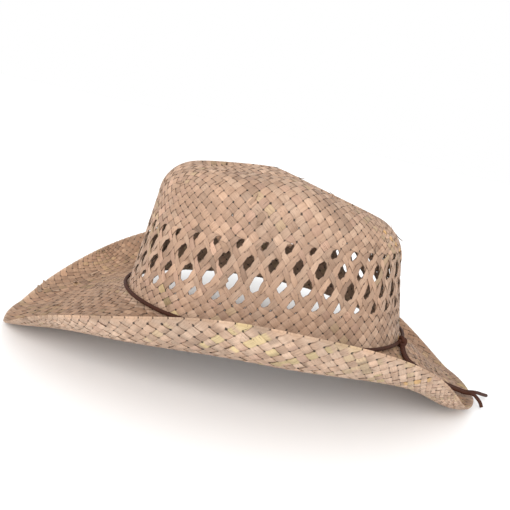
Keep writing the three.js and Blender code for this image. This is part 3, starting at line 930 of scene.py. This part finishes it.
def add_straw_ends(name, node, weave, cells, material):
    crossings = np.nonzero(weave.over & np.isin(weave.cell_of, cells))[0]
    chosen = chance.choice(crossings, int(len(crossings) * ENDS.share), replace=False)
    middles = weave.pattern[weave.cells[weave.cell_of[crossings]]].mean(1)
    plain = []
    for degrees, reach in PLAIN_ENDS:
        angle = math.radians(degrees)
        away = np.linalg.norm(middles - reach * np.array([math.cos(angle), math.sin(angle)]), axis=-1)
        if away.min() < PLAIN.near:
            plain.append(crossings[away.argmin()])
    chosen = np.concatenate([chosen, np.array(plain, int)])
    rings, length = end_points(weave, chosen, len(plain))
    count = len(chosen)
    loops = [ring_loops(k * count + np.arange(count)) for k in range(ENDS.steps + 1)]
    faces = [band(one, two) for one, two in zip(loops, loops[1:])]
    faces += [cap(loops[0])[:, ::-1], cap(loops[-1])]
    step = length / ENDS.steps
    ways = np.ones(count, bool)
    uv = [band_lengths(k * step + chosen, step, ways, chosen) for k in range(ENDS.steps)]
    uv += [np.zeros((3 * count, 4, 2))] * 2
    straw = np.array([STRAWS[i].colour for i in chance.integers(0, ENDS.straws, count)])
    straw *= chance.normal(ENDS.tone, ENDS.tone_spread, (count, 1))
    straw[count - len(plain):] *= PLAIN.tone
    colour = np.tile(np.repeat(straw, AROUND, axis=0), (ENDS.steps + 1, 1))
    # Painted shade at the ends' edges, as on the crown
    painted_edge_shade = np.full(len(colour), PAINTED_EDGE_SHADE.crown)
    points, faces, uv = rings.reshape(-1, 3), np.concatenate(faces), np.concatenate(uv)
    straw_piece(name, node, points, faces, uv, colour, painted_edge_shade, material)


# Middle line of the lace, in the corner between the crown's wall and the brim
def lace_line(degrees):
    angle = np.radians(np.atleast_1d(degrees))
    clear = LACE.half_wall + LACE.radius + LACE.gap
    c, s = np.cos(angle), np.sin(angle)
    outward = np.stack([c / FOOT.half_length, s / FOOT.half_width, 0 * c], -1)
    outward /= np.linalg.norm(outward, axis=-1, keepdims=True)
    point = np.stack([FOOT.half_length * c, FOOT.half_width * s, 0 * c], -1) + outward * clear
    level = brim_form(angle, 2 * clear / brim_width(angle))[:, 2]
    point[:, 2] = np.maximum(FOOT.level, level) + clear
    return point, outward


# Middle line of the knot: turns on the lace that swing in and out
def knot_line():
    point, outward = (found[0] for found in lace_line(KNOT.at))
    centre = point + outward * KNOT.outward + [0, 0, KNOT.raised]
    along = np.cross([0, 0, 1], outward)
    loop = []
    for k in range(KNOT.points):
        turn = k * 2 * KNOT.turns * math.pi / KNOT.points
        reach = KNOT.radius + KNOT.swing * math.cos(KNOT.crossings * turn)
        round_lace = outward * KNOT.narrow * reach * math.cos(turn) + [0, 0, reach * math.sin(turn)]
        loop.append(centre + round_lace + along * KNOT.swing * math.sin(KNOT.crossings * turn))
    return loop


# Middle line of a free end of the lace, from the knot over the brim and past the rear tip of the rim
def tail_line(tail):
    on_brim = []
    for at, out, height in TAIL_LINE:
        angle = math.radians(at + tail.side * lerp(TAIL_SPREAD.at_foot, TAIL_SPREAD.at_rim, out))
        pattern = (FOOT_AT + out) * np.array([[math.cos(angle), math.sin(angle)]])
        on_brim.append(hat_form(pattern)[0] + normals(pattern)[0] * height)
    return [np.array(p) for p in tail.start] + on_brim + [np.array(p) for p in tail.end]


# A point of the hat in millimetres as a place in the scene
def in_scene(point):
    return (point[0] * MM + HAT_X, point[1] * MM, point[2] * MM)


# A round lace along points in millimetres
def lace_curve(name, points, radius, closed, material):
    curve = bpy.data.curves.new(name, "CURVE")
    curve.dimensions = "3D"
    curve.bevel_depth = radius * MM
    curve.bevel_resolution = 4
    curve.resolution_u = 6
    curve.use_fill_caps = not closed
    spline = curve.splines.new("BEZIER")
    spline.bezier_points.add(len(points) - 1)
    for knot, point in zip(spline.bezier_points, points):
        knot.co = in_scene(point)
        knot.handle_left_type = knot.handle_right_type = "AUTO"
    spline.use_cyclic_u = closed
    curve.materials.append(material)
    piece = bpy.data.objects.new(name, curve)
    bpy.context.scene.collection.objects.link(piece)
    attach(piece, "root")
    return piece


def add_lace():
    leather = leather_material()
    ring, _ = lace_line(np.arange(0, 360, LACE.degrees_apart))
    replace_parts(lace_curve("lace_ring", ring, LACE.radius, True, leather), "hat_cord")
    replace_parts(lace_curve("lace_knot", knot_line(), KNOT.thick, True, leather), "cord_knot")
    for name, tail in TAILS.items():
        points = tail_line(tail)
        piece = lace_curve(name, points, LACE.radius, False, leather)
        bpy.context.view_layer.update()
        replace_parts(piece, tail.node)


# Pale floor and soft studio light
def add_stage():
    bpy.ops.mesh.primitive_plane_add(size=FLOOR.side, location=(0, 0, -FLOOR.below))
    floor = bpy.context.object
    floor.name = "floor"
    paint, _, shader = new_material("pale floor")
    shader.inputs["Base Color"].default_value = FLOOR.colour
    shader.inputs["Roughness"].default_value = FLOOR.roughness
    floor.data.materials.append(paint)
    world = bpy.data.worlds.new("studio")
    bpy.context.scene.world = world
    world.use_nodes = True
    world.node_tree.nodes["Background"].inputs["Color"].default_value = (1, 1, 1, 1)
    world.node_tree.nodes["Background"].inputs["Strength"].default_value = 1.0
    sun = bpy.data.lights.new("soft window", "SUN")
    sun.energy = 3.0
    sun.angle = math.radians(50)
    lamp = bpy.data.objects.new("soft window", sun)
    lamp.rotation_euler = (math.radians(65), 0, math.radians(-18))
    bpy.context.scene.collection.objects.link(lamp)
    bpy.context.scene.view_settings.view_transform = "Standard"


make_camera()
add_stage()
add_weave()
add_lace()
